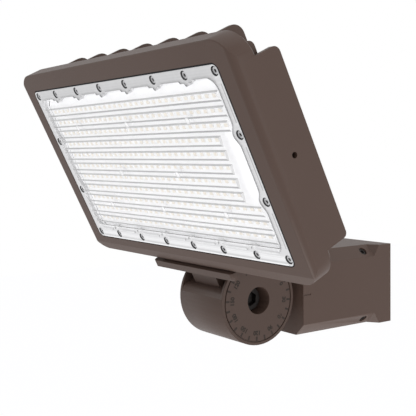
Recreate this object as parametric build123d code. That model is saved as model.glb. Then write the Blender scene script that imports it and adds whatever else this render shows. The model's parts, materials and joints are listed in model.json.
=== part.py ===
from build123d import *
import os
from math import radians, sqrt, tan

# Flood light on a square wall arm. Millimetres and degrees.
# The origin is the middle of the arm's wall face: +Y runs into the wall, +Z is up.
# The head is drawn upright in its own frame, with Y running back from its front face,
# and is then turned about the pivot to the aim that it has at rest.

# Aim of the beam below the horizon
rest_aim = 25.5
highest_aim = -30.0
lowest_aim = 90.0

# Head rim and its slanted underside
head_width = 410.0
head_height = 229.0
head_corner = 26.0
rim_depth = 22.0
rim_wall = 4.5
rim_front_wall = 4.0
front_edge = 0.8
rear_edge = 2.0
side_round = 8.0
bevel_height = 10.6
bevel_depth = 3.0
underside_angle = 9.5

# Lens plate and its seat
lens_width = 360.0
lens_height = 188.0
lens_corner = 6.0
lens_thickness = 2.2
lens_gap = 1.6
rib_count = 11
rib_pitch = 13.55
rib_height = 10.0
rib_rise = 1.6
rib_draft = 0.4
rib_end_space = 12.0
short_rib_space = 32.0
short_rib_count = 5
seat_width = 12.5
gasket_inset = 8.2
gasket_thickness = 1.2
tray_wall = 4.0
base_thickness = 5.8

# Lens screws
lens_screw_inset = 5.8
lens_screw_pitch = 51.7
lens_screw_columns = 6
side_screw_height = 31.4
lens_screw_radius = 1.9
lens_screw_length = 7.0
lens_screw_head_radius = 4.0
lens_screw_head_height = 2.4
screw_hole_clearance = 0.4

# Light sources and their board
board_thickness = 1.6
board_clearance = 1.0
board_space = 0.2
strip_height = 3.5
strip_thickness = 0.8
strip_end_space = 2.5
board_screw_spread = 109.0
board_screw_middle = 55.0
board_screw_radius = 1.5
board_screw_length = 5.0
board_screw_head_radius = 2.8
board_screw_head_height = 0.8

# Cooling fins and side walls
fin_count = 7
fin_pitch = 48.3
fin_thickness = 4.0
fin_depth = 63.0
fin_step = 4.0
fin_corner = 11.0
low_fin_depth = 47.0
low_fin_step = 14.5
low_fin_thickness = 3.0
end_fin_inset = 12.0
end_fin_depth = 31.5
end_fin_step = 13.5
end_fin_corner = 6.0
side_wall = 5.0
side_depth = 45.8
side_top = 89.6
fin_foot_rise = 27.9
side_corner = 6.5
side_foot_corner = 4.5
accessory_hole_radius = 2.75
accessory_hole_depth = 11.0
accessory_hole_back = 22.7
accessory_hole_height = 2.0
accessory_boss_radius = 8.0
accessory_boss_end = 2.0
insert_radius = 4.5

# Driver box on the back
box_width = 250.0
box_height = 96.0
box_wall = 4.0
box_corner = 8.0
box_back = 52.0
cover_thickness = 4.0
cover_gasket_thickness = 1.5
cover_boss_radius = 5.5
cover_screw_radius = 1.9
cover_screw_length = 12.0
cover_screw_head_radius = 3.8
cover_screw_head_height = 2.4
driver_end_space = 16.0
driver_height = 62.0
driver_depth = 34.0
driver_ear = 12.0
driver_ear_thickness = 2.0
driver_screw_radius = 1.9
driver_screw_length = 5.5
driver_screw_head_radius = 3.8
driver_screw_head_height = 2.4
grommet_inset = 8.5
grommet_radius = 5.0
grommet_wire_radius = 2.5
grommet_lip = 1.8
grommet_lip_radius = 7.0

# Pad under the head, and the knuckle's flange that is bolted to it
pad_drop = 1.0
pad_width = 128.0
pad_front = 8.0
pad_back = 58.0
pad_thickness = 10.0
web_rise = 6.0
pad_boss_radius = 8.5
pad_boss_height = 17.0
duct_radius = 10.0
wire_radius = 6.0
wire_back = 36.0
flange_gasket_thickness = 1.5
flange_width = 148.0
flange_depth = 62.0
flange_thickness = 7.6
flange_corner = 5.0
flange_bolt_spread = 52.0
flange_bolt_front = 17.0
flange_bolt_back = 49.0
flange_bolt_radius = 4.0
flange_bolt_length = 20.0
flange_bolt_head_height = 5.3
flange_bolt_flats = 13.0

# Knuckle drum and neck
neck_length = 51.8
neck_width = 44.8
neck_front = 11.0
pivot_back = 38.3
neck_behind_pivot = 15.4
drum_width = 79.0
drum_radius = 47.3
drum_rim = 3.5
neck_foot = 31.3
neck_foot_round = 12.0
drum_gap = 9.4
dial_radius = 43.0
dial_groove_width = 1.4
dial_groove_depth = 1.2
counterbore_radius = 14.5
counterbore_depth = 24.0

# Pivot hardware
pivot_radius = 8.0
pivot_running_gap = 0.05
pivot_hole_gap = 0.25
pivot_head_radius = 12.0
pivot_head_height = 8.0
pivot_socket_flats = 14.0
pivot_socket_depth = 6.5
pivot_tail = 3.5
nut_flats = 24.0
nut_height = 13.0
washer_radius = 13.8
washer_thickness = 2.0
washer_gap = 0.5
bushing_wall = 1.5
friction_washer_radius = 22.0
friction_washer_thickness = 1.0
cheek_gap = 0.15

# Wall arm and its tongue
arm_side = 92.0
arm_length = 136.0
arm_wall = 6.0
arm_front_wall = 9.0
arm_chamfer = 13.0
square_end = 27.5
stop_facet = 8.5
tongue_thickness = 20.0
tongue_height = 44.0
eye_radius = 28.0
eye_space = 5.5
tongue_space = 1.0
tongue_wire_height = 15.2
tongue_wire_radius = 4.0
seal_length = 14.0
seal_stop = 2.0
seal_wire_radius = 1.2
seal_wire_spacing = 3.4
pointer_length = 11.0
pointer_width = 1.6
pointer_depth = 0.8

# Mounting plate inside the arm
plate_thickness = 8.0
plate_fit = 0.3
post_side = 16.0
post_length = 46.0
wall_hole_radius = 5.5
wall_hole_spacing = 54.0
wall_wire_radius = 12.0
arm_screw_back = 39.0
arm_screw_sink = 1.5
arm_screw_radius = 3.0
arm_screw_length = 15.0
arm_screw_head_radius = 4.8
arm_screw_head_height = 3.0
arm_screw_socket_flats = 4.0
arm_screw_socket_depth = 1.8
ground_screw_place = 24.0
ground_screw_radius = 2.4
ground_screw_length = 6.0
ground_screw_head_radius = 4.5
ground_screw_head_height = 3.0

# Sides of the outlines that stand for small rounds
shank_sides = 6
head_sides = 8
ring_sides = 16
dial_sides = 48

# Places worked out from the sizes above
cut = 1.0
overlap = 0.5
rib_top = 0.0
rib_end = lens_width / 2 - rib_end_space
short_rib_end = lens_width / 2 - short_rib_space
lens_front = rib_top + rib_rise
lens_back = lens_front + lens_thickness
seat_back = lens_back + gasket_thickness
window_width = lens_width - 2 * seat_width
window_height = lens_height - 2 * seat_width
strip_front = lens_back + board_space
board_front = strip_front + strip_thickness
board_back = board_front + board_thickness
tray_back = board_back + base_thickness
tray_width = lens_width + 2 * (lens_gap + tray_wall)
tray_height = lens_height + 2 * (lens_gap + tray_wall)
tray_floor = -tray_height / 2 + tray_wall
end_fin_place = head_width / 2 - end_fin_inset
driver_length = box_width - 2 * (box_wall + driver_end_space + driver_ear)
grommet_place = box_width / 2 - box_wall - grommet_inset
fin_foot = -head_height / 2 + fin_foot_rise
pad_face = -head_height / 2 - pad_drop
flange_top = pad_face - flange_gasket_thickness
flange_bottom = flange_top - flange_thickness
pivot_height = flange_bottom - neck_length
pivot_reach = arm_length + drum_gap + drum_radius
slot_half = tongue_thickness / 2 + friction_washer_thickness + cheek_gap
cavity_radius = eye_radius + eye_space
counterbore_floor = drum_width / 2 - counterbore_depth
pivot_seat = counterbore_floor + washer_thickness
bushing_radius = pivot_radius + pivot_running_gap + bushing_wall
inner_side = arm_side - 2 * arm_wall
inner_chamfer = arm_chamfer - arm_wall * (2 - sqrt(2))
chamfer_face = (arm_side - arm_chamfer) / sqrt(2)
arm_screw_seat = chamfer_face - arm_screw_sink - arm_screw_head_height
seal_back = -arm_length + arm_front_wall - seal_stop

head_place = Pos(0, -pivot_reach, 0) * Rot(rest_aim, 0, 0) * Pos(0, -pivot_back, -pivot_height)


def along_x(sketch, left, right):
    """Extrude a sketch drawn in Y and Z from x = left to x = right."""
    return extrude(Plane.YZ.offset(left) * sketch, amount=right - left)


def along_y(sketch, front, back):
    """Extrude a sketch drawn in X and Z from y = front to y = back."""
    return extrude(Plane.XZ.offset(-front) * sketch, amount=front - back)


def along_z(sketch, low, high):
    """Extrude a sketch drawn in X and Y from z = low to z = high."""
    return extrude(Plane.XY.offset(low) * sketch, amount=high - low)


def polygon(*points):
    """A flat face inside the given corners."""
    return make_face(Polyline(*points, close=True))


def disc(across, up, radius):
    """A circle placed on the two axes of its sketch."""
    return Pos(across, up) * Circle(radius)


def peg(across, up, radius, sides=shank_sides):
    """A many-sided outline for a small round piece or its hole, placed like a disc."""
    return Pos(across, up) * RegularPolygon(radius, sides)


def hexagon(flats):
    """A hexagon of the given width across its flats."""
    return RegularPolygon(flats / 2, 6, major_radius=False)


def cut_cornered(width, height, corner):
    """A rectangle with its corners cut at 45 degrees."""
    return chamfer(Rectangle(width, height).vertices(), corner)


def rib_heights():
    """Heights of the lens ribs' middle lines, from the lowest to the highest."""
    return [rib_pitch * (row - (rib_count - 1) / 2) for row in range(rib_count)]


def rib_right_end(row):
    """The middle ribs stop short of the right-hand rim."""
    is_short = abs(row - (rib_count - 1) / 2) <= (short_rib_count - 1) / 2
    return short_rib_end if is_short else rib_end


def lens_screw_places():
    """Places of the screws round the edge of the lens plate."""
    side = lens_width / 2 - lens_screw_inset
    top = lens_height / 2 - lens_screw_inset
    middle = (lens_screw_columns - 1) / 2
    columns = [lens_screw_pitch * (k - middle) for k in range(lens_screw_columns)]
    rows = [(x, z) for x in columns + [-side, side] for z in (-top, top)]
    return rows + [(x, z) for x in (-side, side) for z in (-side_screw_height, side_screw_height)]


def board_screw_places():
    """Places of the board's screws, each in a gap between two rows of light sources."""
    outer_gap = 3.5 * rib_pitch
    middle_gap = -0.5 * rib_pitch
    outer = [(x, z) for x in (-board_screw_spread, 0, board_screw_spread) for z in (-outer_gap, outer_gap)]
    return outer + [(-board_screw_middle, middle_gap), (board_screw_middle, middle_gap)]


def cover_screw_places():
    """Places of the driver cover's screws, over bosses in the box's walls."""
    side = box_width / 2 - cover_boss_radius
    top = box_height / 2 - cover_boss_radius
    return [(x, z) for x in (-side, 0, side) for z in (-top, top)]


def driver_screw_places():
    """Places of the screws through the ears of the power supply."""
    side = driver_length / 2 + driver_ear / 2
    return [(x, z) for x in (-side, side) for z in (-driver_height / 4, driver_height / 4)]


def flange_bolt_places():
    """Places of the flange bolts across and behind the head's front face."""
    rows = (flange_bolt_front, flange_bolt_back)
    return [(x, y) for x in (-flange_bolt_spread, flange_bolt_spread) for y in rows]


def wire_way():
    """Outline of the wire's way down from the driver box."""
    return peg(0, wire_back, wire_radius, head_sides)


def holes_along_y(places, radius, front, back):
    """Screw-hole cutters along Y at a list of places."""
    return along_y(Sketch() + [peg(x, z, radius) for x, z in places], front, back)


def fin(place, thickness, depth, top, corner, soften):
    """One upright cooling fin behind the back wall, with its upper rear corner taken off."""
    front = tray_back - base_thickness / 2
    face = polygon((front, fin_foot), (front, top), (depth, top), (depth, fin_foot))
    rear = face.vertices().sort_by(Axis.X)[-2:].sort_by(Axis.Y)
    face = soften(rear[1], corner)
    return along_x(face, place - thickness / 2, place + thickness / 2)


def cooling_fins():
    """Tall fins at a steady pitch, a lower one between each pair, and a short one at each end."""
    half = (fin_count - 1) / 2
    top = head_height / 2
    tall = [fin((k - half) * fin_pitch, fin_thickness, fin_depth, top - fin_step, fin_corner, fillet)
            for k in range(fin_count)]
    low_places = [(k - half - 0.5) * fin_pitch for k in range(fin_count + 1)]
    low_top = top - low_fin_step
    low = [fin(x, low_fin_thickness, low_fin_depth, low_top, fin_corner, chamfer) for x in low_places]
    end_top = top - end_fin_step
    ends = [fin(side * end_fin_place, fin_thickness, end_fin_depth, end_top, end_fin_corner, fillet)
            for side in (-1, 1)]
    return tall + low + ends


def side_plate(side):
    """Flat end wall behind the rim, rounded at its rear corners."""
    front = tray_back
    face = polygon((front, fin_foot), (front, side_top), (side_depth, side_top), (side_depth, fin_foot))
    rear = face.vertices().sort_by(Axis.X)[-2:].sort_by(Axis.Y)
    face = fillet(rear[1], side_corner)
    rear = face.vertices().sort_by(Axis.X)[-2:].sort_by(Axis.Y)
    face = fillet(rear[0], side_foot_corner)
    outside = side * head_width / 2
    return along_x(face, outside - side * side_wall, outside)


def at_accessory_holes(outline, start, depth):
    """Bars of one outline in from both end walls, at the accessory holes."""
    spot = Pos(accessory_hole_back, accessory_hole_height) * outline
    outside = head_width / 2
    return [along_x(spot, side * (outside + start), side * (outside - depth)) for side in (-1, 1)]


def rim_shell():
    """Front rim with the lens tray, hollow behind apart from its lower edge."""
    rim = along_y(RectangleRounded(head_width, head_height, head_corner), 0, rim_depth)
    rim = chamfer(rim.edges().group_by(Axis.Y)[-1], rear_edge)
    rim = chamfer(rim.edges().group_by(Axis.Y)[0], front_edge)
    plan = Pos(0, rim_depth) * RectangleRounded(head_width, 2 * rim_depth, side_round)
    rim &= along_z(plan, -head_height, head_height)
    inside = RectangleRounded(head_width - 2 * rim_wall, head_height - 2 * rim_wall, head_corner - rim_wall)
    inside -= Pos(0, tray_floor - head_height / 2) * Rectangle(head_width, head_height)
    tray = RectangleRounded(tray_width, tray_height, lens_corner + lens_gap + tray_wall)
    rim -= along_y(inside - tray, rim_front_wall, rim_depth + cut)
    rim -= along_y(inside, tray_back, rim_depth + cut)
    return rim


def pad_ribs():
    """Webs in line with the fins, from the pad up to the fins' feet."""
    front = tray_back - base_thickness / 2
    foot = pad_face + overlap
    top = fin_foot + web_rise
    face = polygon((front, foot), (front, top), (pad_back, top), (pad_back, foot))
    places = [k * fin_pitch / 2 for k in range(-2, 3)]
    return [along_x(face, x - fin_thickness / 2, x + fin_thickness / 2) for x in places]


def build_housing():
    """Cast housing: rim, lens seat, back wall, fins, end walls, driver box and lower pad."""
    box = RectangleRounded(box_width, box_height, box_corner)
    box_inside = cut_cornered(box_width - 2 * box_wall, box_height - 2 * box_wall, box_corner - box_wall)
    fins = Part() + cooling_fins()
    fins -= along_y(box, tray_back, fin_depth + cut)
    body = rim_shell() + fins + [side_plate(-1), side_plate(1)]
    boss = RegularPolygon(accessory_boss_radius, head_sides)
    body += at_accessory_holes(boss, -overlap, accessory_hole_depth + accessory_boss_end)

    # Lower edge: front bevel, then the rising underside
    low = -head_height / 2
    reach = rim_depth + cut
    slope = bevel_height / bevel_depth
    rise = (reach - bevel_depth) * tan(radians(underside_angle))
    below = polygon((-cut, low - cut), (-cut, low + bevel_height + cut * slope), (bevel_depth, low),
                    (reach, low + rise), (reach, low - cut))
    body -= along_x(below, -head_width, head_width)

    # Driver box with screw bosses
    body += along_y(box - box_inside, tray_back - overlap, box_back)
    bosses = Sketch() + [peg(x, z, cover_boss_radius, head_sides) for x, z in cover_screw_places()]
    body += along_y(bosses & box, tray_back - overlap, box_back)

    # Pad, its webs and bolt bosses, and the wire duct up to the driver box
    pad = Pos(0, (pad_front + pad_back) / 2) * Rectangle(pad_width, pad_back - pad_front)
    body += along_z(pad, pad_face, pad_face + pad_thickness)
    body += pad_ribs()
    body += [along_z(peg(x, y, pad_boss_radius, head_sides), pad_face, pad_face + pad_boss_height)
             for x, y in flange_bolt_places()]
    duct_top = -box_height / 2 + box_wall
    body += along_z(peg(0, wire_back, duct_radius, head_sides), pad_face, duct_top)

    # Lens seat, light chamber and all holes
    seat = RectangleRounded(lens_width + 2 * lens_gap, lens_height + 2 * lens_gap, lens_corner + lens_gap)
    body -= along_y(seat, -cut, seat_back)
    body -= along_y(cut_cornered(window_width, window_height, lens_corner), 0, board_back)
    body -= holes_along_y(lens_screw_places(), lens_screw_radius, 0, lens_front + lens_screw_length + cut)
    body -= holes_along_y(board_screw_places(), board_screw_radius, 0, board_front + board_screw_length)
    body -= holes_along_y(driver_screw_places(), driver_screw_radius,
                          tray_back + driver_ear_thickness - driver_screw_length, tray_back + cut)
    body -= along_y(peg(grommet_place, 0, grommet_radius, head_sides), 0, tray_back + cut)
    cover_back = box_back + cover_gasket_thickness + cover_thickness
    body -= holes_along_y(cover_screw_places(), cover_screw_radius,
                          cover_back - cover_screw_length - cut, cover_back)
    body -= at_accessory_holes(RegularPolygon(insert_radius, ring_sides), cut, accessory_hole_depth)
    bolt_top = flange_bottom + flange_bolt_length + cut
    body -= [along_z(peg(x, y, flange_bolt_radius), pad_face - cut, bolt_top)
             for x, y in flange_bolt_places()]
    return body - along_z(wire_way(), pad_face - cut, duct_top + cut)


def build_accessory_inserts():
    """Threaded inserts, flush with the end walls."""
    ring = RegularPolygon(insert_radius, ring_sides) - Circle(accessory_hole_radius)
    return at_accessory_holes(ring, 0, accessory_hole_depth)


def build_lens_plate():
    """Clear plate with a raised rib over each row of light sources."""
    plate = along_y(RectangleRounded(lens_width, lens_height, lens_corner), lens_front, lens_back)
    half = rib_height / 2
    ribs = []
    for row, height in enumerate(rib_heights()):
        section = polygon((lens_front + overlap, height - half), (lens_front, height - half),
                          (rib_top, height - half + rib_draft), (rib_top, height + half - rib_draft),
                          (lens_front, height + half), (lens_front + overlap, height + half))
        ribs.append(along_x(section, -rib_end, rib_right_end(row)))
    plate = plate + ribs
    hole_radius = lens_screw_radius + screw_hole_clearance
    return plate - holes_along_y(lens_screw_places(), hole_radius, rib_top - cut, lens_back + cut)


def build_lens_gasket():
    """Flat seal on the lens seat, inside the line of the lens screws."""
    ring = cut_cornered(lens_width - 2 * gasket_inset, lens_height - 2 * gasket_inset, lens_corner)
    return along_y(ring - cut_cornered(window_width, window_height, lens_corner), lens_back, seat_back)


def headed_screw(x, z, seat, tip, radius, head_radius, head_height, head_side):
    """Round-headed screw along Y. Its head stands on the seat, on the side given by head_side."""
    head = along_y(peg(x, z, head_radius, head_sides), seat, seat + head_side * head_height)
    shank = along_y(peg(x, z, radius), seat + head_side * overlap, tip)
    return head + shank


def build_lens_screws():
    return [headed_screw(x, z, lens_front, lens_front + lens_screw_length, lens_screw_radius,
                         lens_screw_head_radius, lens_screw_head_height, -1)
            for x, z in lens_screw_places()]


def build_led_board():
    """Flat board on the back wall, with screw holes and a wire hole."""
    width = window_width - 2 * board_clearance
    board = cut_cornered(width, window_height - 2 * board_clearance, lens_corner)
    hole_radius = board_screw_radius + screw_hole_clearance
    board -= [peg(x, z, hole_radius) for x, z in board_screw_places()]
    board -= peg(grommet_place, 0, grommet_wire_radius, head_sides)
    return along_y(board, board_front, board_back)


def build_led_strips():
    """A strip of light sources under each rib, from its left end to its right end."""
    left = -rib_end + strip_end_space
    strips = []
    for row, height in enumerate(rib_heights()):
        right = rib_right_end(row) - strip_end_space
        face = Pos((left + right) / 2, height) * Rectangle(right - left, strip_height)
        strips.append(along_y(face, strip_front, board_front))
    return strips


def build_board_screws():
    return [headed_screw(x, z, board_front, board_front + board_screw_length, board_screw_radius,
                         board_screw_head_radius, board_screw_head_height, -1)
            for x, z in board_screw_places()]


def build_wire_grommet():
    """Soft ring in the back wall with a lip on the driver side."""
    back = tray_back + grommet_lip
    ring = along_y(peg(grommet_place, 0, grommet_radius, head_sides), board_back, tray_back)
    ring += along_y(peg(grommet_place, 0, grommet_lip_radius, head_sides), tray_back, back)
    hole = peg(grommet_place, 0, grommet_wire_radius, head_sides)
    return ring - along_y(hole, board_back - cut, back + cut)


def build_led_driver():
    """Sealed power supply with a screw ear at each end."""
    outline = cut_cornered(driver_length, driver_height, box_corner)
    case = along_y(outline, tray_back, tray_back + driver_depth)
    ears = Rectangle(driver_length + 2 * driver_ear, driver_height)
    hole_radius = driver_screw_radius + screw_hole_clearance
    ears -= [peg(x, z, hole_radius) for x, z in driver_screw_places()]
    return case + along_y(ears, tray_back, tray_back + driver_ear_thickness)


def build_driver_screws():
    seat = tray_back + driver_ear_thickness
    return [headed_screw(x, z, seat, seat - driver_screw_length, driver_screw_radius,
                         driver_screw_head_radius, driver_screw_head_height, 1)
            for x, z in driver_screw_places()]


def cover_outline():
    """Outline of the driver cover and its seal, with the screw holes."""
    outline = RectangleRounded(box_width, box_height, box_corner)
    hole_radius = cover_screw_radius + screw_hole_clearance
    return outline - [peg(x, z, hole_radius) for x, z in cover_screw_places()]


def build_cover_gasket():
    """Seal on the driver box's wall, wide enough for the screws."""
    band = 2 * cover_boss_radius
    inside = cut_cornered(box_width - 2 * band, box_height - 2 * band, box_corner - box_wall)
    outside = cover_outline() & cut_cornered(box_width, box_height, box_corner)
    return along_y(outside - inside, box_back, box_back + cover_gasket_thickness)


def build_driver_cover():
    front = box_back + cover_gasket_thickness
    return along_y(cover_outline(), front, front + cover_thickness)


def build_cover_screws():
    seat = box_back + cover_gasket_thickness + cover_thickness
    return [headed_screw(x, z, seat, seat - cover_screw_length, cover_screw_radius,
                         cover_screw_head_radius, cover_screw_head_height, 1)
            for x, z in cover_screw_places()]


def build_flange_gasket():
    """Seal between the pad and the flange, with bolt and wire holes."""
    face = Pos(0, (pad_front + pad_back) / 2) * Rectangle(pad_width, pad_back - pad_front)
    hole_radius = flange_bolt_radius + screw_hole_clearance
    face -= [peg(x, y, hole_radius) for x, y in flange_bolt_places()]
    return along_z(face - wire_way(), flange_top, pad_face)


def tongue_room():
    """Space that the arm's tongue needs inside the drum, over the whole range of aim."""
    half = tongue_height / 2 + tongue_space
    reach = 2 * drum_radius
    rooms = [Circle(cavity_radius)]
    step = 15.0
    count = int(round((lowest_aim - highest_aim) / step))
    for k in range(count + 1):
        aim = highest_aim + (lowest_aim - highest_aim) * k / count
        rooms.append(Rot(0, 0, -aim) * Pos(reach / 2, 0) * Rectangle(reach, 2 * half))
    return along_x(Sketch() + rooms, -slot_half, slot_half)


def neck_recess():
    """Room in the drum's top round the foot of the neck, between the drum's two end rims."""
    above = Pos(0, neck_foot + drum_radius) * Rectangle(2 * drum_radius, 2 * drum_radius)
    core = Circle(drum_radius) - above
    core = fillet(core.vertices(), neck_foot_round)
    reach = drum_width / 2 - drum_rim
    return along_x(Circle(drum_radius + cut) - core, -reach, reach)


def build_knuckle():
    """Flange, neck and drum in one casting, open at the back for the tongue."""
    half = drum_width / 2
    drum = along_x(Circle(drum_radius), -half, half)
    groove = RegularPolygon(dial_radius + dial_groove_width, dial_sides)
    groove -= RegularPolygon(dial_radius, dial_sides)
    drum -= along_x(groove, half - dial_groove_depth, half + cut)
    drum -= neck_recess()

    front = neck_front - pivot_back
    neck = Pos(0, (front + neck_behind_pivot) / 2) * Rectangle(neck_width, neck_behind_pivot - front)
    drum += along_z(neck, 0, neck_length + overlap)
    drum -= tongue_room()
    drum -= along_x(Circle(pivot_radius + pivot_hole_gap), -half - cut, half + cut)
    for side in (-1, 1):
        drum -= along_x(Circle(counterbore_radius), side * counterbore_floor, side * (half + cut))

    plate = Pos(0, flange_depth / 2) * RectangleRounded(flange_width, flange_depth, flange_corner)
    flange = along_z(plate, flange_bottom, flange_top)
    hole_radius = flange_bolt_radius + screw_hole_clearance
    flange -= [along_z(peg(x, y, hole_radius), flange_bottom - cut, flange_top + cut)
               for x, y in flange_bolt_places()]
    knuckle = flange + Pos(0, pivot_back, pivot_height) * drum
    return knuckle - along_z(wire_way(), pivot_height + cavity_radius / 2, flange_top + cut)


def build_flange_bolts():
    """Hexagon bolts up through the flange into the pad."""
    bolts = []
    for x, y in flange_bolt_places():
        head = Pos(x, y) * hexagon(flange_bolt_flats)
        bolt = along_z(head, flange_bottom - flange_bolt_head_height, flange_bottom)
        shank = peg(x, y, flange_bolt_radius)
        bolts.append(bolt + along_z(shank, flange_bottom - overlap, flange_bottom + flange_bolt_length))
    return bolts


def build_pivot_bolt():
    """Socket-head bolt, its head in the dial-side counterbore."""
    tail = -(pivot_seat + nut_height + pivot_tail)
    bolt = along_x(RegularPolygon(pivot_head_radius, ring_sides), pivot_seat, pivot_seat + pivot_head_height)
    bolt += along_x(Circle(pivot_radius), tail, pivot_seat + overlap)
    top = pivot_seat + pivot_head_height
    bolt -= along_x(hexagon(pivot_socket_flats), top - pivot_socket_depth, top + cut)
    return Pos(0, pivot_back, pivot_height) * bolt


def build_pivot_nut():
    hole = RegularPolygon(pivot_radius, ring_sides, major_radius=False)
    nut = along_x(hexagon(nut_flats) - hole, -pivot_seat - nut_height, -pivot_seat)
    return Pos(0, pivot_back, pivot_height) * nut


def build_pivot_washers():
    face = RegularPolygon(washer_radius, ring_sides) - RegularPolygon(pivot_radius + washer_gap, ring_sides)
    pair = [along_x(face, side * counterbore_floor, side * pivot_seat) for side in (-1, 1)]
    return [Pos(0, pivot_back, pivot_height) * washer for washer in pair]


def chamfer_cutter():
    """Cutter for one long edge of the arm, ended by a slanted three-sided facet."""
    half = arm_side / 2
    far = half + cut
    near = half - arm_chamfer - cut
    corner = polygon((near, far), (far, near), (far, far))
    bar = along_y(corner, -arm_length - cut, -square_end)
    tip = Vertex(far, -square_end + stop_facet * (1 + 2 * cut / arm_chamfer), far)
    return bar + loft([Plane.XZ.offset(square_end) * corner, tip])


def arm_inside(fit):
    """Hollow section of the arm, smaller all round by a fit."""
    section = Rectangle(inner_side - 2 * fit, inner_side - 2 * fit)
    return chamfer(section.vertices(), inner_chamfer - fit * (2 - sqrt(2)))


def on_diagonals(piece):
    """Four copies of a piece drawn along +Z, turned to the arm's four chamfers."""
    return [Rot(0, 45 + 90 * k, 0) * piece for k in range(4)]


def wire_holes():
    """A hole for each wire, through the arm's front wall and the seal before it."""
    sides = (-seal_wire_spacing / 2, seal_wire_spacing / 2)
    return Sketch() + [peg(x, tongue_wire_height, seal_wire_radius) for x in sides]


def build_arm():
    """Hollow square arm with stopped chamfers and a tongue that carries the pivot."""
    arm = along_y(Rectangle(arm_side, arm_side), -arm_length, 0)
    cutter = chamfer_cutter()
    arm -= [Rot(0, 90 * k, 0) * cutter for k in range(4)]
    web = Pos(-(pivot_reach + arm_length) / 2 + overlap, 0)
    tongue = web * Rectangle(pivot_reach - arm_length + 2 * overlap, tongue_height)
    tongue += disc(-pivot_reach, 0, eye_radius)
    arm += along_x(tongue, -tongue_thickness / 2, tongue_thickness / 2)
    arm -= along_y(arm_inside(0), -arm_length + arm_front_wall, cut)
    arm -= along_x(peg(-pivot_reach, 0, bushing_radius, ring_sides), -tongue_thickness, tongue_thickness)
    wire_bore = peg(0, tongue_wire_height, tongue_wire_radius, head_sides)
    arm -= along_y(wire_bore, -pivot_reach - eye_radius, seal_back)
    arm -= along_y(wire_holes(), seal_back - cut, seal_back + seal_stop + cut)
    hole = along_z(peg(0, -arm_screw_back, arm_screw_radius + screw_hole_clearance), 0, chamfer_face + cut)
    recess = peg(0, -arm_screw_back, arm_screw_head_radius + screw_hole_clearance, head_sides)
    recess = along_z(recess, arm_screw_seat, chamfer_face + arm_chamfer)
    arm -= on_diagonals(hole) + on_diagonals(recess)
    mark = Pos(-arm_length + pointer_length / 2, 0) * Rectangle(pointer_length, pointer_width)
    return arm - along_x(mark, arm_side / 2 - pointer_depth, arm_side / 2 + cut)


def build_wire_seal():
    """Soft plug for the wires, in the bore of the tongue, against the end of that bore."""
    plug = peg(0, tongue_wire_height, tongue_wire_radius, head_sides) - wire_holes()
    return along_y(plug, seal_back - seal_length, seal_back)


def build_pivot_bushing():
    ring = RegularPolygon(bushing_radius, ring_sides) - Circle(pivot_radius + pivot_running_gap)
    return Pos(0, -pivot_reach, 0) * along_x(ring, -tongue_thickness / 2, tongue_thickness / 2)


def build_friction_washers():
    hole = RegularPolygon(pivot_radius + washer_gap, ring_sides)
    face = RegularPolygon(friction_washer_radius, ring_sides) - hole
    inner = tongue_thickness / 2
    pair = [along_x(face, side * inner, side * (inner + friction_washer_thickness)) for side in (-1, 1)]
    return [Pos(0, -pivot_reach, 0) * washer for washer in pair]


def build_mounting_plate():
    """Plate flush with the wall, with a post in each corner for the arm's screws."""
    section = arm_inside(plate_fit)
    plate = along_y(section, -plate_thickness, 0)
    post_place = inner_side / 2 - post_side / 2
    for x in (-post_place, post_place):
        for z in (-post_place, post_place):
            post = section & Pos(x, z) * Rectangle(post_side, post_side)
            plate += along_y(post, -post_length, -plate_thickness + overlap)
    bolt_height = wall_hole_spacing / 2
    holes = [disc(0, 0, wall_wire_radius)]
    holes += [disc(0, z, wall_hole_radius) for z in (-bolt_height, bolt_height)]
    plate -= along_y(Sketch() + holes, -plate_thickness - cut, cut)
    plate -= holes_along_y([(ground_screw_place, 0)], ground_screw_radius,
                           -plate_thickness - cut, -plate_thickness + ground_screw_length)
    hole_foot = arm_screw_seat - arm_screw_length
    hole = along_z(peg(0, -arm_screw_back, arm_screw_radius), hole_foot, chamfer_face)
    return plate - on_diagonals(hole)


def build_arm_screws():
    """Socket-head screws sunk in the arm's chamfers."""
    seat = arm_screw_seat
    top = seat + arm_screw_head_height
    screw = along_z(RegularPolygon(arm_screw_head_radius, head_sides), seat, top)
    screw += along_z(peg(0, 0, arm_screw_radius), seat - arm_screw_length, seat + overlap)
    socket = hexagon(arm_screw_socket_flats)
    screw -= along_z(socket, top - arm_screw_socket_depth, top + cut)
    return on_diagonals(Pos(0, -arm_screw_back, 0) * screw)


def build_ground_screw():
    seat = -plate_thickness
    return headed_screw(ground_screw_place, 0, seat, seat + ground_screw_length, ground_screw_radius,
                        ground_screw_head_radius, ground_screw_head_height, -1)


def save(name, piece):
    """Write one node. A list of solids becomes one group."""
    shape = Compound(children=piece) if isinstance(piece, list) else piece
    export_step(shape, f"parts/{name}.step")


head_pieces = {
    "housing": build_housing,
    "accessory_inserts": build_accessory_inserts,
    "lens_plate": build_lens_plate,
    "lens_gasket": build_lens_gasket,
    "lens_screws": build_lens_screws,
    "led_board": build_led_board,
    "led_strips": build_led_strips,
    "board_screws": build_board_screws,
    "wire_grommet": build_wire_grommet,
    "led_driver": build_led_driver,
    "driver_screws": build_driver_screws,
    "driver_cover": build_driver_cover,
    "cover_gasket": build_cover_gasket,
    "cover_screws": build_cover_screws,
    "flange_gasket": build_flange_gasket,
    "knuckle": build_knuckle,
    "flange_bolts": build_flange_bolts,
    "pivot_bolt": build_pivot_bolt,
    "pivot_nut": build_pivot_nut,
    "pivot_washers": build_pivot_washers,
}
arm_pieces = {
    "arm": build_arm,
    "wire_seal": build_wire_seal,
    "pivot_bushing": build_pivot_bushing,
    "friction_washers": build_friction_washers,
    "mounting_plate": build_mounting_plate,
    "arm_screws": build_arm_screws,
    "ground_screw": build_ground_screw,
}

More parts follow.
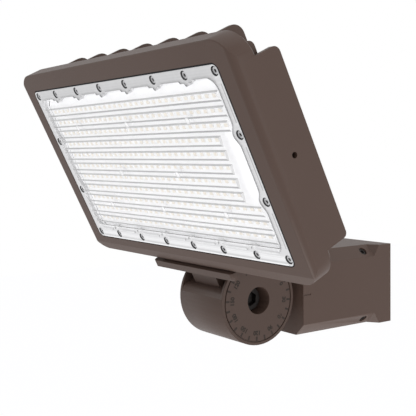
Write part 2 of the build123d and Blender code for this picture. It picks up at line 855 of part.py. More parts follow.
os.makedirs("parts", exist_ok=True)
for name, build in head_pieces.items():
    piece = build()
    save(name, [head_place * solid for solid in piece] if isinstance(piece, list) else head_place * piece)
for name, build in arm_pieces.items():
    save(name, build())
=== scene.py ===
import json
from math import cos, pi, radians

import bmesh
import bpy
from mathutils import Matrix, Vector


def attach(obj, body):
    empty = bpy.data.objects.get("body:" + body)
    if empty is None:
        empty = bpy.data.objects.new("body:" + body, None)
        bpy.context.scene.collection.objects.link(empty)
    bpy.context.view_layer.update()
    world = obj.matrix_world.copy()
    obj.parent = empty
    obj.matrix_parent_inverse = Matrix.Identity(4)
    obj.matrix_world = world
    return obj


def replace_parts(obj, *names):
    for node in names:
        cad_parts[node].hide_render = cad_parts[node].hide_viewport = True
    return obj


# Flood light on a square wall arm, in metres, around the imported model.
# Pieces of the head are modelled upright, with X across the lens, Y back from the
# bezel's face and Z up the lens, and are then turned to the head's aim at rest.

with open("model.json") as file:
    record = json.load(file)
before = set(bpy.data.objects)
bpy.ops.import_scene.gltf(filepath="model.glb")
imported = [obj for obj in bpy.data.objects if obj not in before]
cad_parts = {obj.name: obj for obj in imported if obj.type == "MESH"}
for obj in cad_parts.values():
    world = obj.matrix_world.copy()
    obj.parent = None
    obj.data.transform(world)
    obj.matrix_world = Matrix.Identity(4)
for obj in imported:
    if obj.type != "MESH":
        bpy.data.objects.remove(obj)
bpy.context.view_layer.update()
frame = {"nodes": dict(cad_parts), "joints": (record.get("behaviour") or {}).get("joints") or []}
scene = bpy.context.scene

# The head's own frame
rest_aim = radians(25.5)
pivot = Vector(frame["joints"][0]["pos_m"])
pivot_in_head = Vector((0, 0.0383, -0.1764))
turn_to_aim = Matrix.Rotation(rest_aim, 4, "X")
head_place = Matrix.Translation(pivot) @ turn_to_aim @ Matrix.Translation(-pivot_in_head)
lens_up = turn_to_aim @ Vector((0, 0, 1))
lens_middle = head_place @ Vector((0, 0, 0))

# Lens plate and its ribs
lens_width = 0.3602
lens_height = 0.1887
plate_middle = (-0.0012, -0.00045)
lens_corner = 0.0052
base_front = 0.0024
lens_back = 0.0038
corner_steps = 6
pad_front = -0.0005
rib_front = -0.0009
rib_slope = 0.0003
rib_count = 11
rib_pitch = 0.01355
rib_height = 0.0102
rib_edge = 0.0018
rib_end_space = 0.0003
short_rib_right = 0.148
short_rib_count = 5
short_rib_slant = 0.0022
short_rib_slope = 0.0014
lower_band = -0.0775

# Bead round the lens
pocket_width = 0.3632
pocket_height = 0.1912
pocket_corner = 0.0076
bead_front = 0.0006

# Lower border round the lens's raised pad
border_front = 0.0006
band_height = 0.0835
strip_place = 0.171
border_corner = 0.012
notch_half = 0.0105
notch_slope = 0.0015
notch_depth = 0.0022
lobe_radius = 0.0030
lobe_steps = 8
swell_depth = 0.0048
swell_half = 0.0115
swell_steps = 12
ridge_place = 0.1763
ridge_width = 0.0010
ridge_rise = 0.00012
ridge_end_space = 0.011

# Lens screws, sunk in holes of the border
screw_inset = 0.0058
screw_plate_width = 0.360
screw_plate_height = 0.188
screw_pitch = 0.0517
screw_columns = 6
side_screw_height = 0.0314
screw_hole_radius = 0.0045
screw_hole_sides = 20
screw_head_radius = 0.0036
screw_head_sides = 12
screw_head_front = 0.0013
screw_head_round = 0.0005
screw_head_steps = 2
socket_radius = 0.0018
socket_taper = 0.00018
socket_depth = 0.0006
seal_height = 0.0002
seal_bore_radius = 0.0018

# Light sources, and the window in the casting round their board
led_columns = 30
led_reach = 0.1564
led_shift = -0.0010
led_drop = 0.0012
led_width = 0.0050
led_height = 0.0036
led_rim = 0.0004
led_sink = 0.0001
led_front = 0.0040
board_front = 0.0048
window_width = 0.335
window_height = 0.163
window_corner = 0.006
lining_thickness = 0.0006

# Bosses over the board's screws, with their rows counted in ribs from the middle
outer_boss_row = 3.5
outer_boss_columns = (-0.109, 0.0, 0.109)
middle_boss_row = -0.5
middle_boss_columns = (-0.055, 0.055)
boss_radius = 0.0036
boss_sides = 20
boss_line = 0.0005
boss_rise = 0.0001

# Dial on the knuckle
dial_face = 0.0395
tick_step = 15
tick_inner = 0.0382
tick_outer = 0.0428
tick_width = 0.0020
number_step = 30
number_radius = 0.0342
number_height = 0.0064
number_weight = 0.00034
mark_rise = 0.00008

# Edges of the castings
casting_edge = 0.0006
casting_edge_steps = 2
casting_edge_angle = radians(38)
casting_weld = 0.00001
casting_flatness = radians(0.6)

# Faces: least cosine of one that faces a side, or leans to it, and the angle that stays sharp
facing = 0.9
leaning = 0.3
sharp_angle = radians(32)

# Places of the finishes on pieces that have more than one, after the first
rib_lower, rib_upper, soft_line, lined_foot = 1, 2, 3, 4
shaded_upper_border, hole_wall, lower_border = 1, 2, 3
second_finish = 1

# Bronze powder coat
bronze_dark = (0.059, 0.034, 0.025)
bronze_light = (0.073, 0.045, 0.035)
# The knuckle's darker level is painted shade from the head above it
knuckle_shade_level = 0.86
drift_scale = 9.0
drift_share = 0.7
pebble_scale = 1500.0
pebble_detail = 2.0
pebble_rough = (0.44, 0.58)
pebble_relief = (0.22, 0.0003)

# Clear and frosted plastic of the lens
haze_scale = 60.0
haze_least = 0.008
haze_spread = 0.02
edge_grey_scale = 120.0
edge_grey_spread = 0.1
frost_roughness = 0.35
frost_relief = (0.2, 0.0004)
mould_cloud_scale = 140.0
mould_line_share = 0.6
soft_line_scale = 300.0
soft_line_contrast = 2.4
soft_line_dark = 0.54
soft_line_light = 0.92

# Stage, lamps and camera
floor_height = -0.9
floor_reach = 6.0
floor_cloud_scale = 2.0
floor_dark = 0.93
floor_light = 0.95
floor_glow = 0.9
room_level = 1.0
overhead_place = Vector((0.2, -0.5, 1.9))
overhead_size = 1.6
overhead_power = 4.0
fill_place = Vector((0.1, -0.3, -0.85))
fill_size = 1.0
fill_power = 5.5
side_place = Vector((1.9, -0.1, 0.1))
side_size = 1.4
side_power = 8.0
camera_place = (0.7228, -0.7294, 0.1613)
camera_swing = radians(55.27)
camera_drop = radians(4.13)
camera_roll = radians(-0.93)
camera_lens = 72.0
camera_sensor = 36.0


class Socket:
    """The output of a shader node, for sums that add Math nodes."""

    def __init__(self, finish, output):
        self.finish = finish
        self.output = output

    def math(self, operation, other):
        """The result of a sum of this value and another."""
        return self.finish.node("ShaderNodeMath", {"operation": operation}, {0: self, 1: other})

    def __add__(self, other):
        return self.math("ADD", other)

    def __sub__(self, other):
        return self.math("SUBTRACT", other)

    def __mul__(self, other):
        return self.math("MULTIPLY", other)

    def at_most(self, limit):
        return self.math("MINIMUM", limit)


class Finish:
    """A material and the nodes that feed its Principled shader."""

    def __init__(self, name, **constants):
        self.material = bpy.data.materials.new(name)
        self.material.use_nodes = True
        self.tree = self.material.node_tree
        self.shader = self.tree.nodes["Principled BSDF"]
        for socket, value in constants.items():
            self.shader.inputs[socket.replace("_", " ").title().replace("Ior", "IOR")].default_value = value

    def node(self, kind, settings=None, inputs=None, output=0):
        """Add a node: its settings first, then the values or links of its sockets."""
        made = self.tree.nodes.new(kind)
        for key, value in (settings or {}).items():
            setattr(made, key, value)
        for key, value in (inputs or {}).items():
            self.feed(made.inputs[key], value)
        return Socket(self, made.outputs[output])

    def feed(self, target, value):
        """Link a socket to an input, or set the input to a plain value."""
        if isinstance(value, Socket):
            self.tree.links.new(value.output, target)
        else:
            target.default_value = value

    def noise(self, scale, detail=3.0):
        """Cloudy noise over object coordinates, which are metres in the part's own frame."""
        place = self.node("ShaderNodeTexCoord", output="Object")
        return self.node("ShaderNodeTexNoise", inputs={"Vector": place, "Scale": scale, "Detail": detail})

    def height_on_lens(self):
        """Height up the lens from its middle."""
        place = self.node("ShaderNodeTexCoord", output="Object")
        from_middle = self.node("ShaderNodeVectorMath", {"operation": "SUBTRACT"}, {0: place, 1: lens_middle})
        along = {"operation": "DOT_PRODUCT"}
        return self.node("ShaderNodeVectorMath", along, {0: from_middle, 1: lens_up}, output="Value")

    def streaks(self, scale):
        """Lines along the lens plate, of uneven strength."""
        height = self.height_on_lens()
        return self.node("ShaderNodeTexNoise", {"noise_dimensions": "1D"}, {"W": height, "Scale": scale})

    def seen(self):
        """One for rays that show a thing to the eye, straight, mirrored or through glass."""
        kinds = ("Is Camera Ray", "Is Glossy Ray", "Is Transmission Ray")
        straight, mirrored, through = [self.node("ShaderNodeLightPath", output=kind) for kind in kinds]
        return (straight + mirrored + through).at_most(1.0)

    def tint(self, pattern, dark, light):
        """A colour that goes with the pattern from dark to light."""
        mixed = self.node("ShaderNodeMix", {"data_type": "RGBA"}, {0: pattern, 6: dark, 7: light}, output=2)
        self.feed(self.shader.inputs["Base Color"], mixed)

    def roughen(self, pattern, least, most):
        """A roughness that goes with the pattern."""
        self.feed(self.shader.inputs["Roughness"], pattern * (most - least) + least)

    def emboss(self, pattern, strength, height):
        """A relief that goes with the pattern."""
        inputs = {"Height": pattern, "Strength": strength, "Distance": height}
        self.feed(self.shader.inputs["Normal"], self.node("ShaderNodeBump", inputs=inputs))


def shade(red, green, blue):
    """A linear colour."""
    return (red, green, blue, 1.0)


def grey(level):
    """A grey with a trace of blue."""
    return shade(level, level, level * 1.01)


def grained(name, scale, dark, light, detail=3.0, rough=None, relief=None, **constants):
    """A finish with one grain, which shifts its tone and, where given, its roughness and relief."""
    finish = Finish(name, **constants)
    grain = finish.noise(scale, detail)
    finish.tint(grain, dark, light)
    if rough:
        finish.roughen(grain, *rough)
    if relief:
        finish.emboss(grain, *relief)
    return finish.material


def bronze_coat(name, level):
    """Satin powder coat: fine pebbled grain, with a faint drift of tone over the castings."""
    finish = Finish(name, specular_ior_level=0.30)
    pebble = finish.noise(pebble_scale, pebble_detail)
    tone = finish.noise(drift_scale) * drift_share + pebble * (1 - drift_share)
    dark, light = [shade(*(part * level for part in colour)) for colour in (bronze_dark, bronze_light)]
    finish.tint(tone, dark, light)
    finish.roughen(pebble, *pebble_rough)
    finish.emboss(pebble, *pebble_relief)
    return finish.material


def clear_plastic(name):
    """Clear moulded plastic, with a trace of haze from the mould."""
    finish = Finish(name, base_color=grey(0.96), roughness=0.12, specular_ior_level=0.4)
    finish.feed(finish.shader.inputs["Alpha"], finish.noise(haze_scale) * haze_spread + haze_least)
    return finish.material


def edge_grey(name, level):
    """Slanted edges and walls in the lens, which send the light aside: painted grey as painted shade of how
    they look from the front.
    """
    dark, light = grey(level * (1 - edge_grey_spread)), grey(level * (1 + edge_grey_spread))
    return grained(name, edge_grey_scale, dark, light, roughness=0.3, alpha=0.9)


def frosted(name, line_scale, dark, light, alpha):
    """Frosted plastic, with faint lines along the lens and clouds from the mould."""
    finish = Finish(name, roughness=frost_roughness, alpha=alpha)
    clouds = finish.noise(mould_cloud_scale)
    pattern = finish.streaks(line_scale) * mould_line_share + clouds * (1 - mould_line_share)
    finish.tint(pattern, dark, light)
    finish.emboss(pattern, *frost_relief)
    return finish.material


def soft_lined(name, alpha):
    """Frosted lower edge of the lens, with soft lines along it."""
    finish = Finish(name, roughness=frost_roughness, alpha=alpha)
    line = (finish.streaks(soft_line_scale) - 0.5) * soft_line_contrast + 0.5
    finish.tint(line, grey(soft_line_dark), grey(soft_line_light))
    finish.emboss(line, *frost_relief)
    return finish.material


def finished(name, shape, slot, *finishes):
    """A piece of the head from a bmesh, set in place inside its mesh."""
    shape.transform(head_place)
    mesh = bpy.data.meshes.new(name)
    shape.to_mesh(mesh)
    shape.free()
    mesh.shade_smooth()
    mesh.set_sharp_from_angle(angle=sharp_angle)
    for material in finishes:
        mesh.materials.append(material)
    made = bpy.data.objects.new(name, mesh)
    scene.collection.objects.link(made)
    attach(made, "head")
    return made


def only(kind, items):
    """The corners, edges or faces among the results of an operator."""
    return [item for item in items if isinstance(item, kind)]


def everything(shape):
    """All corners, edges and faces of a shape."""
    return list(shape.verts) + list(shape.edges) + list(shape.faces)


def faces_at(corners):
    """The faces that meet at any of these corners."""
    return {face for corner in corners for face in corner.link_faces}


def edges_at(corners):
    """The edges that meet at any of these corners."""
    return {edge for corner in corners for edge in corner.link_edges}


def front_of(faces):
    """Those of the faces that look to the front of the lamp."""
    return [face for face in faces if face.normal.y < -facing]


def across_lens(x, y, z):
    """Place for a flat shape that faces the front of the lamp."""
    return Matrix.Translation((x, y, z)) @ Matrix.Rotation(pi / 2, 4, "X")


def round_off(shape, corners_or_edges, offset, steps, affect="EDGES"):
    """Round corners or edges, or cut them in one step."""
    bmesh.ops.bevel(shape, geom=corners_or_edges, offset=offset, offset_type="OFFSET", affect=affect,
                    segments=steps, profile=0.5, material=-1)


def add_box(shape, low, high):
    """A box between two corners."""
    size = Vector(high) - Vector(low)
    middle = (Vector(high) + Vector(low)) / 2
    place = Matrix.Translation(middle) @ Matrix.Diagonal(size.to_4d())
    return bmesh.ops.create_cube(shape, size=1.0, matrix=place)["verts"]


def add_outline(shape, width, height, corner, y, middle=(0.0, 0.0), steps=corner_steps):
    """The open outline of a plate across the lens, with round corners, or cut ones in one step."""
    place = across_lens(middle[0], y, middle[1]) @ Matrix.Diagonal((width, height, 1, 1))
    made = bmesh.ops.create_grid(shape, x_segments=1, y_segments=1, size=0.5, matrix=place)
    round_off(shape, made["verts"], corner, steps, affect="VERTICES")
    bmesh.ops.delete(shape, geom=list(shape.faces), context="FACES_ONLY")


def add_disc(shape, radius, front, back, sides):
    """A round plate across the lens, closed at both faces."""
    made = bmesh.ops.create_cone(shape, cap_ends=True, segments=sides, radius1=radius, radius2=radius,
                                 depth=back - front, matrix=across_lens(0, (front + back) / 2, 0))
    return made["verts"]


def push_back(shape, edges, depth):
    """Walls from open edges back into the lamp."""
    walls = bmesh.ops.extrude_edge_only(shape, edges=edges)["geom"]
    bmesh.ops.translate(shape, verts=only(bmesh.types.BMVert, walls), vec=(0, depth, 0))
    return only(bmesh.types.BMFace, walls)


def part_at(shape, point, direction):
    """Part all faces along a plane, so that each side can take its own finish."""
    bmesh.ops.bisect_plane(shape, geom=everything(shape), plane_co=point, plane_no=direction)


def turn_out(shape):
    """Turn all faces of a closed shape outward."""
    bmesh.ops.recalc_face_normals(shape, faces=list(shape.faces))


def turn_to_front(shape):
    """Turn the faces of an open shell so that its flat part looks to the front."""
    turn_out(shape)
    if any(face.normal.y > facing for face in shape.faces):
        bmesh.ops.reverse_faces(shape, faces=list(shape.faces))


def repeat(shape, places):
    """Copies of a shape at places across and up the lens, in place of the first one."""
    first = everything(shape)
    for x, z in places:
        copied = bmesh.ops.duplicate(shape, geom=first)["geom"]
        bmesh.ops.translate(shape, verts=only(bmesh.types.BMVert, copied), vec=(x, 0, z))
    bmesh.ops.delete(shape, geom=only(bmesh.types.BMVert, first), context="VERTS")


def screw_rows():
    """Places across of the screws in the upper and lower rows, from left to right."""
    return [screw_pitch * (k - (screw_columns - 1) / 2) for k in range(screw_columns)]


def screw_places():
    """Places of all the lens screws."""
    side = screw_plate_width / 2 - screw_inset
    top = screw_plate_height / 2 - screw_inset
    rows = [(x, z) for x in screw_rows() + [-side, side] for z in (-top, top)]
    return rows + [(x, z) for x in (-side, side) for z in (-side_screw_height, side_screw_height)]


def strip_swell(height):
    """How far a side strip of the border swells inward round its screws."""
    away = abs(abs(height) - side_screw_height)
    return swell_depth * (1 + cos(pi * min(away / swell_half, 1))) / 2


def arc(centre, radius, start, end, steps):
    """Points on an arc, with angles in degrees."""
    turns = [Matrix.Rotation(radians(start + (end - start) * k / steps), 2) for k in range(steps + 1)]
    return [tuple(Vector(centre) + turn @ Vector((radius, 0))) for turn in turns]


def pad_outline():
    """Outline of the raised pad: a dip with a lobe at each screw, and a bay at each side screw."""
    corner_x = strip_place - border_corner
    corner_z = band_height - border_corner
    outline = arc((corner_x, corner_z), border_corner, 0, 90, corner_steps)
    for x in reversed(screw_rows()):
        low = band_height - notch_depth
        outline += [(x + notch_half, band_height), (x + notch_half - notch_slope, low)]
        outline += arc((x, low), lobe_radius, 0, -180, lobe_steps)
        outline += [(x - notch_half + notch_slope, low), (x - notch_half, band_height)]
    outline += arc((-corner_x, corner_z), border_corner, 90, 180, corner_steps)
    for middle in (side_screw_height, -side_screw_height):
        for k in range(swell_steps + 1):
            height = middle + swell_half * (1 - 2 * k / swell_steps)
            outline.append((strip_swell(height) - strip_place, height))
    return outline + [(-x, -z) for x, z in outline]


def draw_pad(shape, y):
    """The closed line of the pad's outline, at one depth."""
    corners = [shape.verts.new((x, y, z)) for x, z in pad_outline()]
    return [shape.edges.new(ends) for ends in zip(corners, corners[1:] + corners[:1])]


def build_lens_border():
    """Frosted border of the lens, round its raised pad, with a sunk hole for each screw."""
    shape = bmesh.new()
    add_outline(shape, lens_width, lens_height, lens_corner, border_front, plate_middle)
    outer = list(shape.edges)
    inner = draw_pad(shape, border_front)
    holes = []
    for x, z in screw_places():
        rim = bmesh.ops.create_circle(shape, segments=screw_hole_sides, radius=screw_hole_radius,
                                      matrix=across_lens(x, border_front, z))
        holes += edges_at(rim["verts"])
    bmesh.ops.triangle_fill(shape, use_beauty=True, edges=outer + inner + holes)
    # The holes' walls take a dark grey: painted shade inside the holes
    for face in push_back(shape, holes, base_front - border_front):
        face.material_index = hole_wall
    push_back(shape, outer, base_front - border_front)
    push_back(shape, inner, board_front - border_front)
    lobe_foot = band_height - notch_depth - lobe_radius
    for height in (lobe_foot, -band_height):
        part_at(shape, (0, 0, height), (0, 0, 1))
    for x in (-strip_place, strip_place):
        part_at(shape, (x, 0, 0), (1, 0, 0))
    turn_to_front(shape)
    for face in front_of(shape.faces):
        centre = face.calc_center_median()
        # The upper band takes a darker frost: painted shade from the bezel's top lip
        if centre.z > lobe_foot and abs(centre.x) < strip_place:
            face.material_index = shaded_upper_border
        if centre.z < -band_height and abs(centre.x) < strip_place:
            face.material_index = lower_border
    return finished("lens_border", shape, "clear_lens", border_finish, shaded_band_finish, hole_wall_shade_finish,
                    lower_border_finish)


def build_border_ridges():
    """Fine ridges along the right strip, between its screws, painted grey as painted shade."""
    shape = bmesh.new()
    corner = screw_plate_height / 2 - screw_inset
    stops = (-corner, -side_screw_height, side_screw_height, corner)
    for low, high in zip(stops, stops[1:]):
        bottom = (ridge_place - ridge_width / 2, border_front - ridge_rise, low + ridge_end_space)
        top = (ridge_place + ridge_width / 2, border_front, high - ridge_end_space)
        corners = add_box(shape, bottom, top)
        front = [edge for edge in edges_at(corners) if all(v.co.y < border_front for v in edge.verts)]
        round_off(shape, front, ridge_rise / 2, steps=1)
    return finished("border_ridges", shape, "clear_lens", upper_edge_shade_finish)


def build_lens_bead():
    """Black rubber bead that fills the gap round the lens; its black is also painted shade of the gap."""
    shape = bmesh.new()
    add_outline(shape, pocket_width, pocket_height, pocket_corner, bead_front)
    add_outline(shape, lens_width, lens_height, lens_corner, bead_front, plate_middle)
    rims = list(shape.edges)
    bmesh.ops.bridge_loops(shape, edges=rims)
    push_back(shape, rims, lens_back - bead_front)
    turn_out(shape)
    return finished("lens_bead", shape, "grey_seal", rubber_finish)


def rib_rows():
    """Height and both ends of each rib, from the lowest to the highest."""
    rows = []
    for row in range(rib_count):
        step = row - (rib_count - 1) / 2
        height = step * rib_pitch
        swell = max(strip_swell(height - rib_height / 2), strip_swell(height + rib_height / 2))
        end = strip_place - swell - rib_end_space
        short = abs(step) <= (short_rib_count - 1) / 2
        rows.append((height, -end, short_rib_right if short else end))
    return rows


def add_rib(shape, height, left, right):
    """A raised rib with sloping edges painted grey as painted shade, darker below than above. A short one
    also slants and slopes at its right end, with a paler grey painted there.
    """
    short = right < -left
    end_slope = short_rib_slope if short else 0.0
    low = (left, rib_front, height - rib_height / 2)
    corners = add_box(shape, low, (right + end_slope, pad_front, height + rib_height / 2))
    if short:
        slanted = [corner for corner in corners if corner.co.x > 0 and corner.co.z < height]
        bmesh.ops.translate(shape, verts=slanted, vec=(-short_rib_slant, 0, 0))
    faces = faces_at(corners)
    back = [face for face in faces if face.normal.y > facing]
    slopes = bmesh.ops.inset_region(shape, faces=front_of(faces), thickness=rib_edge,
                                    use_even_offset=True)["faces"]
    slope_corners = {corner for face in slopes for corner in face.verts}
    rim = {corner for corner in slope_corners if abs(corner.co.z - height) > (rib_height - rib_edge) / 2}
    bmesh.ops.translate(shape, verts=list(rim), vec=(0, rib_slope, 0))
    top = [corner for corner in slope_corners - rim if corner.co.x > 0]
    bmesh.ops.translate(shape, verts=top, vec=(-end_slope, 0, 0))
    bmesh.ops.delete(shape, geom=back, context="FACES_ONLY")
    for face in slopes:
        middle = face.calc_center_median()
        if middle.z < height - rib_height / 4:
            face.material_index = rib_lower
        elif middle.z > height + rib_height / 4:
            face.material_index = rib_upper
        elif short and middle.x > 0:
            face.material_index = soft_line


def build_lens_window():
    """Clear raised pad of the lens, with a rib over each row of light sources."""
    shape = bmesh.new()
    edge = draw_pad(shape, pad_front)
    bmesh.ops.triangle_fill(shape, use_beauty=True, edges=edge)
    walls = push_back(shape, edge, border_front - pad_front)
    turn_to_front(shape)
    # Walls that face right take the darker grey and walls that face up the paler grey: painted shade
    for face in walls:
        if face.normal.x > leaning:
            face.material_index = rib_lower
        elif face.normal.z > leaning:
            face.material_index = soft_line
    part_at(shape, (0, 0, lower_band), (0, 0, 1))
    for face in front_of(shape.faces):
        if face.calc_center_median().z < lower_band:
            face.material_index = lined_foot
    for height, left, right in rib_rows():
        add_rib(shape, height, left, right)
    return finished("lens_window", shape, "clear_lens", lens_finish, lower_edge_shade_finish, upper_edge_shade_finish,
                    soft_line_shade_finish, lined_finish)


def build_leds():
    """Separate light sources on the board: a white case with a phosphor window."""
    shape = bmesh.new()
    step = 2 * led_reach / (led_columns - 1)
    for height, _, right in rib_rows():
        for column in range(led_columns):
            x = -led_reach + step * column + led_shift
            z = height - led_drop
            if x + led_width > right:
                continue
            low = (x - led_width / 2, led_front, z - led_height / 2)
            corners = add_box(shape, low, (x + led_width / 2, board_front, z + led_height / 2))
            front = front_of(faces_at(corners))
            bmesh.ops.inset_individual(shape, faces=front, thickness=led_rim, depth=-led_sink)
            front[0].material_index = second_finish
    return finished("leds", shape, "light_sources", led_case_finish, phosphor_finish)


def build_window_lining():
    """White sleeve round the light board, over the edge of the casting and with its cut corners."""
    shape = bmesh.new()
    add_outline(shape, window_width, window_height, window_corner, lens_back, steps=1)
    sleeve = push_back(shape, list(shape.edges), board_front - lens_back)
    turn_out(shape)
    bmesh.ops.solidify(shape, geom=sleeve, thickness=lining_thickness)
    turn_out(shape)
    return finished("window_lining", shape, "white_board", board_finish)


def build_lens_screws():
    """Flat round heads, each with a small socket whose floor is dark steel as painted shade, sunk in the
    border's holes.
    """
    shape = bmesh.new()
    corners = add_disc(shape, screw_head_radius, screw_head_front, base_front, screw_head_sides)
    front = front_of(faces_at(corners))
    crown = list(front[0].edges)
    bmesh.ops.inset_individual(shape, faces=front, thickness=screw_head_radius - socket_radius)
    bmesh.ops.inset_individual(shape, faces=front, thickness=socket_taper, depth=-socket_depth)
    front[0].material_index = second_finish
    round_off(shape, crown, screw_head_round, screw_head_steps)
    repeat(shape, screw_places())
    return finished("lens_screw_heads", shape, "steel_fasteners", steel_finish, dark_steel_and_socket_shade_finish)


def build_screw_seals():
    """Black washer under each lens screw, at the bottom of its hole; its black is also painted shade in the
    hole.
    """
    shape = bmesh.new()
    corners = add_disc(shape, screw_hole_radius, base_front - seal_height, base_front, screw_hole_sides)
    front = front_of(faces_at(corners))
    bmesh.ops.inset_individual(shape, faces=front, thickness=screw_hole_radius - seal_bore_radius)
    bmesh.ops.delete(shape, geom=front, context="FACES_ONLY")
    repeat(shape, screw_places())
    return finished("screw_seals", shape, "grey_seal", rubber_finish)


def build_board_bosses():
    """Round bosses in the lens over the board's screws, with a thin grey line round each, painted shade."""
    rows = (-outer_boss_row * rib_pitch, outer_boss_row * rib_pitch)
    places = [(x, z) for x in outer_boss_columns for z in rows]
    places += [(x, middle_boss_row * rib_pitch) for x in middle_boss_columns]
    shape = bmesh.new()
    corners = add_disc(shape, boss_radius, rib_front - boss_rise, pad_front, boss_sides)
    front = front_of(faces_at(corners))
    for face in bmesh.ops.inset_individual(shape, faces=front, thickness=boss_line)["faces"]:
        face.material_index = second_finish
    repeat(shape, places)
    return finished("lens_bosses", shape, "clear_lens", boss_finish, upper_edge_shade_finish)


def dial_turn(angle):
    """Place on the dial at an angle from the head's back, on the drum's right face."""
    return (Matrix.Translation((dial_face, pivot_in_head.y, pivot_in_head.z))
            @ Matrix.Rotation(radians(angle), 4, "X"))


def build_dial_ticks():
    """Tick marks round the dial, dark as painted shade of engraved grooves."""
    shape = bmesh.new()
    for angle in range(0, 360, tick_step):
        low = (-mark_rise, tick_inner, -tick_width / 2)
        corners = add_box(shape, low, (mark_rise, tick_outer, tick_width / 2))
        bmesh.ops.transform(shape, matrix=dial_turn(angle), verts=corners)
    return finished("dial_ticks", shape, "bronze_casting", print_and_groove_shade_finish)


def build_dial_numbers():
    """Degrees round the dial, counted both ways from the head's back."""
    shape = bmesh.new()
    # Text is written along X and Y, and goes along Y and Z on the drum's end
    upright = Matrix(((0, 0, 1, 0), (1, 0, 0, 0), (0, 1, 0, 0), (0, 0, 0, 1)))
    for angle in range(0, 360, number_step):
        text = bpy.data.curves.new("degrees", "FONT")
        text.body = str(min(angle, 360 - angle))
        text.size = number_height
        text.align_x = "CENTER"
        text.align_y = "CENTER"
        text.extrude = mark_rise
        text.offset = number_weight
        carrier = bpy.data.objects.new("degrees", text)
        flat = bpy.data.meshes.new_from_object(carrier)
        turn = dial_turn(angle) @ Matrix.Translation((0, number_radius, 0)) @ Matrix.Rotation(-pi / 2, 4, "X")
        flat.transform(turn @ upright)
        shape.from_mesh(flat)
        bpy.data.objects.remove(carrier)
        bpy.data.curves.remove(text)
        bpy.data.meshes.remove(flat)
    return finished("dial_numbers", shape, "bronze_casting", print_and_groove_shade_finish)


def soften(node):
    """Round the sharp edges of a casting, without touching its mesh."""
    carrier = frame["nodes"][node]
    weld = carrier.modifiers.new("weld", "WELD")
    weld.merge_threshold = casting_weld
    flatten = carrier.modifiers.new("flatten", "DECIMATE")
    flatten.decimate_type = "DISSOLVE"
    flatten.angle_limit = casting_flatness
    edge = carrier.modifiers.new("edge", "BEVEL")
    edge.width = casting_edge
    edge.segments = casting_edge_steps
    edge.limit_method = "ANGLE"
    edge.angle_limit = casting_edge_angle
    edge.harden_normals = True
    edge.use_clamp_overlap = True


def paint(material, *nodes):
    """Give CAD nodes a finish."""
    for node in nodes:
        slots = frame["nodes"][node].data.materials
        slots.clear()
        slots.append(material)


def build_floor():
    """Plain pale floor, well below the lamp, that shows white and keeps a faint shadow."""
    shape = bmesh.new()
    bmesh.ops.create_grid(shape, x_segments=1, y_segments=1, size=floor_reach,
                          matrix=Matrix.Translation((0, 0, floor_height)))
    mesh = bpy.data.meshes.new("floor")
    shape.to_mesh(mesh)
    shape.free()
    finish = Finish("floor_paint", roughness=0.9, specular_ior_level=0.0)
    finish.tint(finish.noise(floor_cloud_scale), grey(floor_dark), grey(floor_light))
    glow = finish.node("ShaderNodeEmission", inputs={"Color": grey(1.0), "Strength": 1.0})
    paint_layer = Socket(finish, finish.shader.outputs[0])
    share = finish.seen() * floor_glow
    mixed = finish.node("ShaderNodeMixShader", inputs={0: share, 1: paint_layer, 2: glow})
    finish.feed(finish.tree.nodes["Material Output"].inputs["Surface"], mixed)
    mesh.materials.append(finish.material)
    floor = bpy.data.objects.new("floor", mesh)
    scene.collection.objects.link(floor)


def build_studio():
    """Even white surroundings."""
    world = bpy.data.worlds.new("studio")
    world.use_nodes = True
    walls = world.node_tree.nodes["Background"]
    walls.inputs["Color"].default_value = shade(1.0, 1.0, 1.0)
    walls.inputs["Strength"].default_value = room_level
    scene.world = world


def build_lamp(name, place, size, power):
    """A broad soft lamp that faces the flood light."""
    lamp = bpy.data.lights.new(name, "AREA")
    lamp.shape = "DISK"
    lamp.size = size
    lamp.energy = power
    carrier = bpy.data.objects.new(name, lamp)
    aim = (lens_middle - place).to_track_quat("-Z", "Y")
    carrier.matrix_world = Matrix.Translation(place) @ aim.to_matrix().to_4x4()
    scene.collection.objects.link(carrier)


def build_camera():
    """The camera at the photograph's angle."""
    camera = bpy.data.cameras.new("camera")
    camera.lens = camera_lens
    camera.sensor_width = camera_sensor
    carrier = bpy.data.objects.new("camera", camera)
    swing = Matrix.Rotation(camera_swing, 4, "Z")
    tilt = Matrix.Rotation(pi / 2 - camera_drop, 4, "X")
    roll = Matrix.Rotation(camera_roll, 4, "Z")
    carrier.matrix_world = Matrix.Translation(camera_place) @ swing @ tilt @ roll
    scene.collection.objects.link(carrier)
    scene.camera = carrier


# Finishes of the castings and of the dial's marks: dark paint for the numbers, and painted shade of engraved
# grooves for the ticks
bronze_finish = bronze_coat("bronze_coat", level=1.0)
# The knuckle's coat is darker than the bronze: painted shade from the head above it
shaded_knuckle_finish = bronze_coat("knuckle_coat_painted_shade", level=knuckle_shade_level)
print_and_groove_shade_finish = grained("print_and_groove_shade", scale=400.0, dark=shade(0.022, 0.016, 0.013),
                      light=shade(0.036, 0.027, 0.022), roughness=0.7, specular_ior_level=0.2)

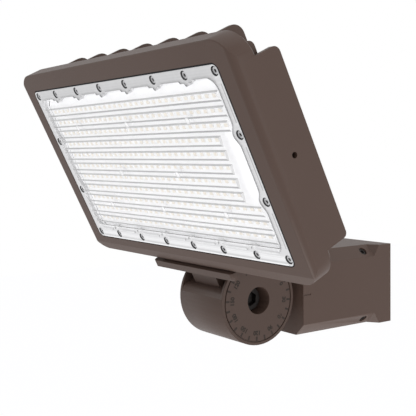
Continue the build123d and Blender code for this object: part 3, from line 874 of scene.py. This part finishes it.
# Finishes of the lens: clear pad, grey slopes and walls that are painted shade, frosted border with its upper
# band darker as painted shade, and bosses
lens_finish = clear_plastic("clear_lens")
lower_edge_shade_finish = edge_grey("rib_lower_edge_shade", level=0.32)
upper_edge_shade_finish = edge_grey("rib_upper_edge_shade", level=0.42)
soft_line_shade_finish = edge_grey("soft_line", level=0.62)
hole_wall_shade_finish = edge_grey("screw_hole_wall_shade", level=0.10)
border_finish = frosted("border_frost", line_scale=330.0, dark=grey(0.54), light=grey(0.72), alpha=0.94)
shaded_band_finish = frosted("band_frost_painted_shade", line_scale=420.0, dark=grey(0.46), light=grey(0.62), alpha=0.96)
lined_finish = soft_lined("lined_frost", alpha=0.6)
lower_border_finish = soft_lined("lower_border_frost", alpha=0.95)
boss_finish = grained("boss_frost", scale=200.0, dark=grey(0.93), light=grey(0.97), roughness=0.4, alpha=0.7)

# Finishes behind the lens: white board with a faint orange peel, and pale yellow light sources
board_finish = grained("board_lacquer", scale=260.0, dark=grey(0.95), light=grey(0.98),
                       relief=(0.1, 0.0003), roughness=0.4)
led_case_finish = grained("led_case", scale=700.0, dark=shade(0.90, 0.89, 0.86),
                          light=shade(0.94, 0.93, 0.91), roughness=0.45)
phosphor_finish = grained("led_phosphor", scale=2500.0, dark=shade(0.85, 0.79, 0.70),
                          light=shade(0.91, 0.86, 0.78), relief=(0.2, 0.0001), roughness=0.5)
silicone_finish = grained("white_silicone", scale=200.0, dark=grey(0.86), light=grey(0.92), roughness=0.6)

# Finishes of fasteners, bearings and black seals
steel_finish = grained("bright_steel", scale=1800.0, detail=4.0, dark=grey(0.42), light=grey(0.66),
                       rough=(0.26, 0.44), relief=(0.12, 0.0001), metallic=1.0)
# Dark steel of the pivot and arm screws, also on the lens screws' socket floors as painted shade
dark_steel_and_socket_shade_finish = grained("dark_steel_and_socket_shade", scale=300.0, detail=4.0, dark=shade(0.014, 0.012, 0.011),
                      light=shade(0.034, 0.029, 0.027), rough=(0.46, 0.66), metallic=0.6)
brass_finish = grained("satin_brass", scale=220.0, detail=4.0, dark=shade(0.50, 0.36, 0.15),
                       light=shade(0.72, 0.56, 0.28), rough=(0.28, 0.48), metallic=1.0)
aluminium_finish = grained("bare_aluminium", scale=180.0, detail=5.0, dark=grey(0.48), light=grey(0.66),
                           rough=(0.38, 0.58), relief=(0.25, 0.0003), metallic=1.0)
rubber_finish = grained("black_rubber", scale=1200.0, dark=grey(0.006), light=grey(0.016),
                        rough=(0.7, 0.85), relief=(0.2, 0.0002), specular_ior_level=0.2)

paint(bronze_finish, "housing", "arm", "driver_cover", "accessory_inserts")
paint(shaded_knuckle_finish, "knuckle")
paint(board_finish, "led_board", "board_screws")
paint(steel_finish, "driver_screws", "cover_screws", "flange_bolts")
paint(dark_steel_and_socket_shade_finish, "pivot_bolt", "pivot_nut", "pivot_washers", "arm_screws")
paint(brass_finish, "pivot_bushing", "ground_screw")
paint(rubber_finish, "cover_gasket", "flange_gasket", "wire_seal", "friction_washers")
paint(silicone_finish, "lens_gasket", "wire_grommet")
paint(aluminium_finish, "led_driver", "mounting_plate")
for casting in ("housing", "knuckle", "arm", "driver_cover"):
    soften(casting)

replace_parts(build_lens_window(), "lens_plate")
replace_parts(build_leds(), "led_strips")
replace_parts(build_lens_screws(), "lens_screws")
build_lens_border()
build_border_ridges()
build_lens_bead()
build_window_lining()
build_screw_seals()
build_board_bosses()
build_dial_ticks()
build_dial_numbers()

build_floor()
build_studio()
build_lamp("overhead", overhead_place, overhead_size, overhead_power)
build_lamp("fill", fill_place, fill_size, fill_power)
build_lamp("side", side_place, side_size, side_power)
build_camera()
scene.view_settings.view_transform = "Standard"
